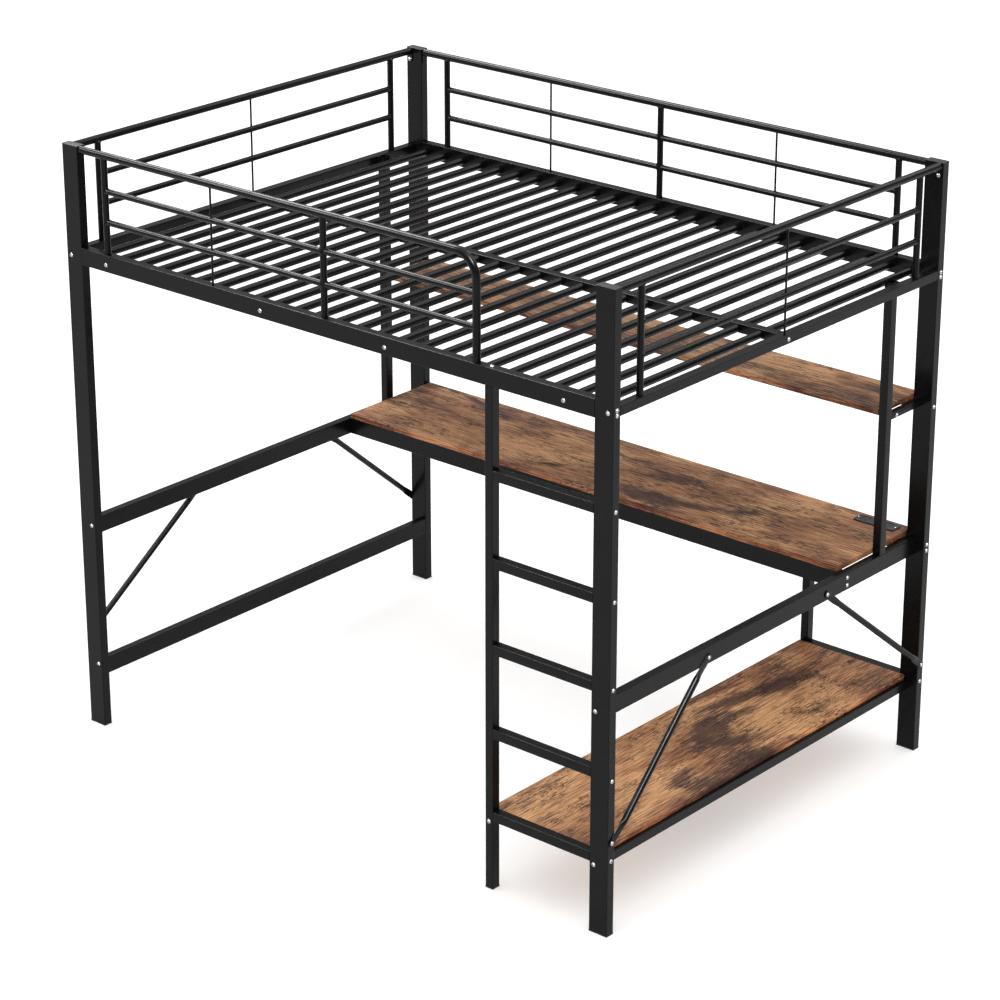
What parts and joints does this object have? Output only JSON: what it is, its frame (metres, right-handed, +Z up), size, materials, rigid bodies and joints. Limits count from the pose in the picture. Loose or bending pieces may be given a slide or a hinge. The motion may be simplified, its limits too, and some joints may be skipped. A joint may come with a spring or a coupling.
{
  "type": "loft bed with desk",
  "caption": "Metal loft bed with slatted base, guardrails and a straight ladder over a full-length desk with an upper shelf and a low side shelf.",
  "frame": {"origin": "on the floor, at the middle of the bed's length and depth", "axes": "+X along the length towards the ladder's end, +Y from the ladder side to the desk side, +Z up"},
  "size_m": [1.9832, 1.45, 1.775],
  "materials": {
    "black_steel": "satin black powder coat on steel tube",
    "rustic_board": "matte rustic brown wood-grain laminate on particle board",
    "black_plastic": "matte black moulded plastic",
    "outlet_plastic": "satin dark blue-grey plastic",
    "zinc_bolt": "bright zinc-plated socket bolt heads"
  },
  "bodies": {
    "root": {"centre_beam": "black_steel", "desk_board": "rustic_board", "desk_front_beam": "black_steel", "desk_rear_beam": "black_steel", "front_guardrail": "black_steel", "front_left_brace": "black_steel", "front_left_foot_glide": "black_plastic", "front_left_post": "black_steel", "front_left_top_cap": "black_plastic", "front_right_brace": "black_steel", "front_right_foot_glide": "black_plastic", "front_right_post": "black_steel", "front_right_top_cap": "black_plastic", "front_side_rail": "black_steel", "front_slats": "black_steel", "ladder_foot_glide": "black_plastic", "ladder_rung_1": "black_steel", "ladder_rung_2": "black_steel", "ladder_rung_3": "black_steel", "ladder_rung_4": "black_steel", "ladder_rung_5": "black_steel", "ladder_stile": "black_steel", "left_desk_end_beam": "black_steel", "left_end_rail": "black_steel", "left_guardrail": "black_steel", "left_low_beam": "black_steel", "left_shelf_bracket": "black_steel", "left_shelf_upright": "black_steel", "left_upright_spacer": "black_steel", "low_shelf_board": "rustic_board", "low_shelf_left_beam": "black_steel", "low_shelf_rear_beam": "black_steel", "low_shelf_rear_leg": "black_steel", "low_shelf_right_beam": "black_steel", "outlet_faceplate": "outlet_plastic", "outlet_housing": "black_plastic", "rear_guardrail": "black_steel", "rear_left_brace": "black_steel", "rear_left_foot_glide": "black_plastic", "rear_left_post": "black_steel", "rear_left_top_cap": "black_plastic", "rear_leg_foot_glide": "black_plastic", "rear_right_brace": "black_steel", "rear_right_foot_glide": "black_plastic", "rear_right_post": "black_steel", "rear_right_top_cap": "black_plastic", "rear_side_rail": "black_steel", "rear_slats": "black_steel", "right_desk_end_beam": "black_steel", "right_end_rail": "black_steel", "right_guardrail": "black_steel", "right_shelf_bracket": "black_steel", "right_shelf_upright": "black_steel", "right_upright_spacer": "black_steel", "shelf_front_rail": "black_steel", "shelf_rear_rail": "black_steel", "upper_shelf_board": "rustic_board"}
  },
  "joints": []
}
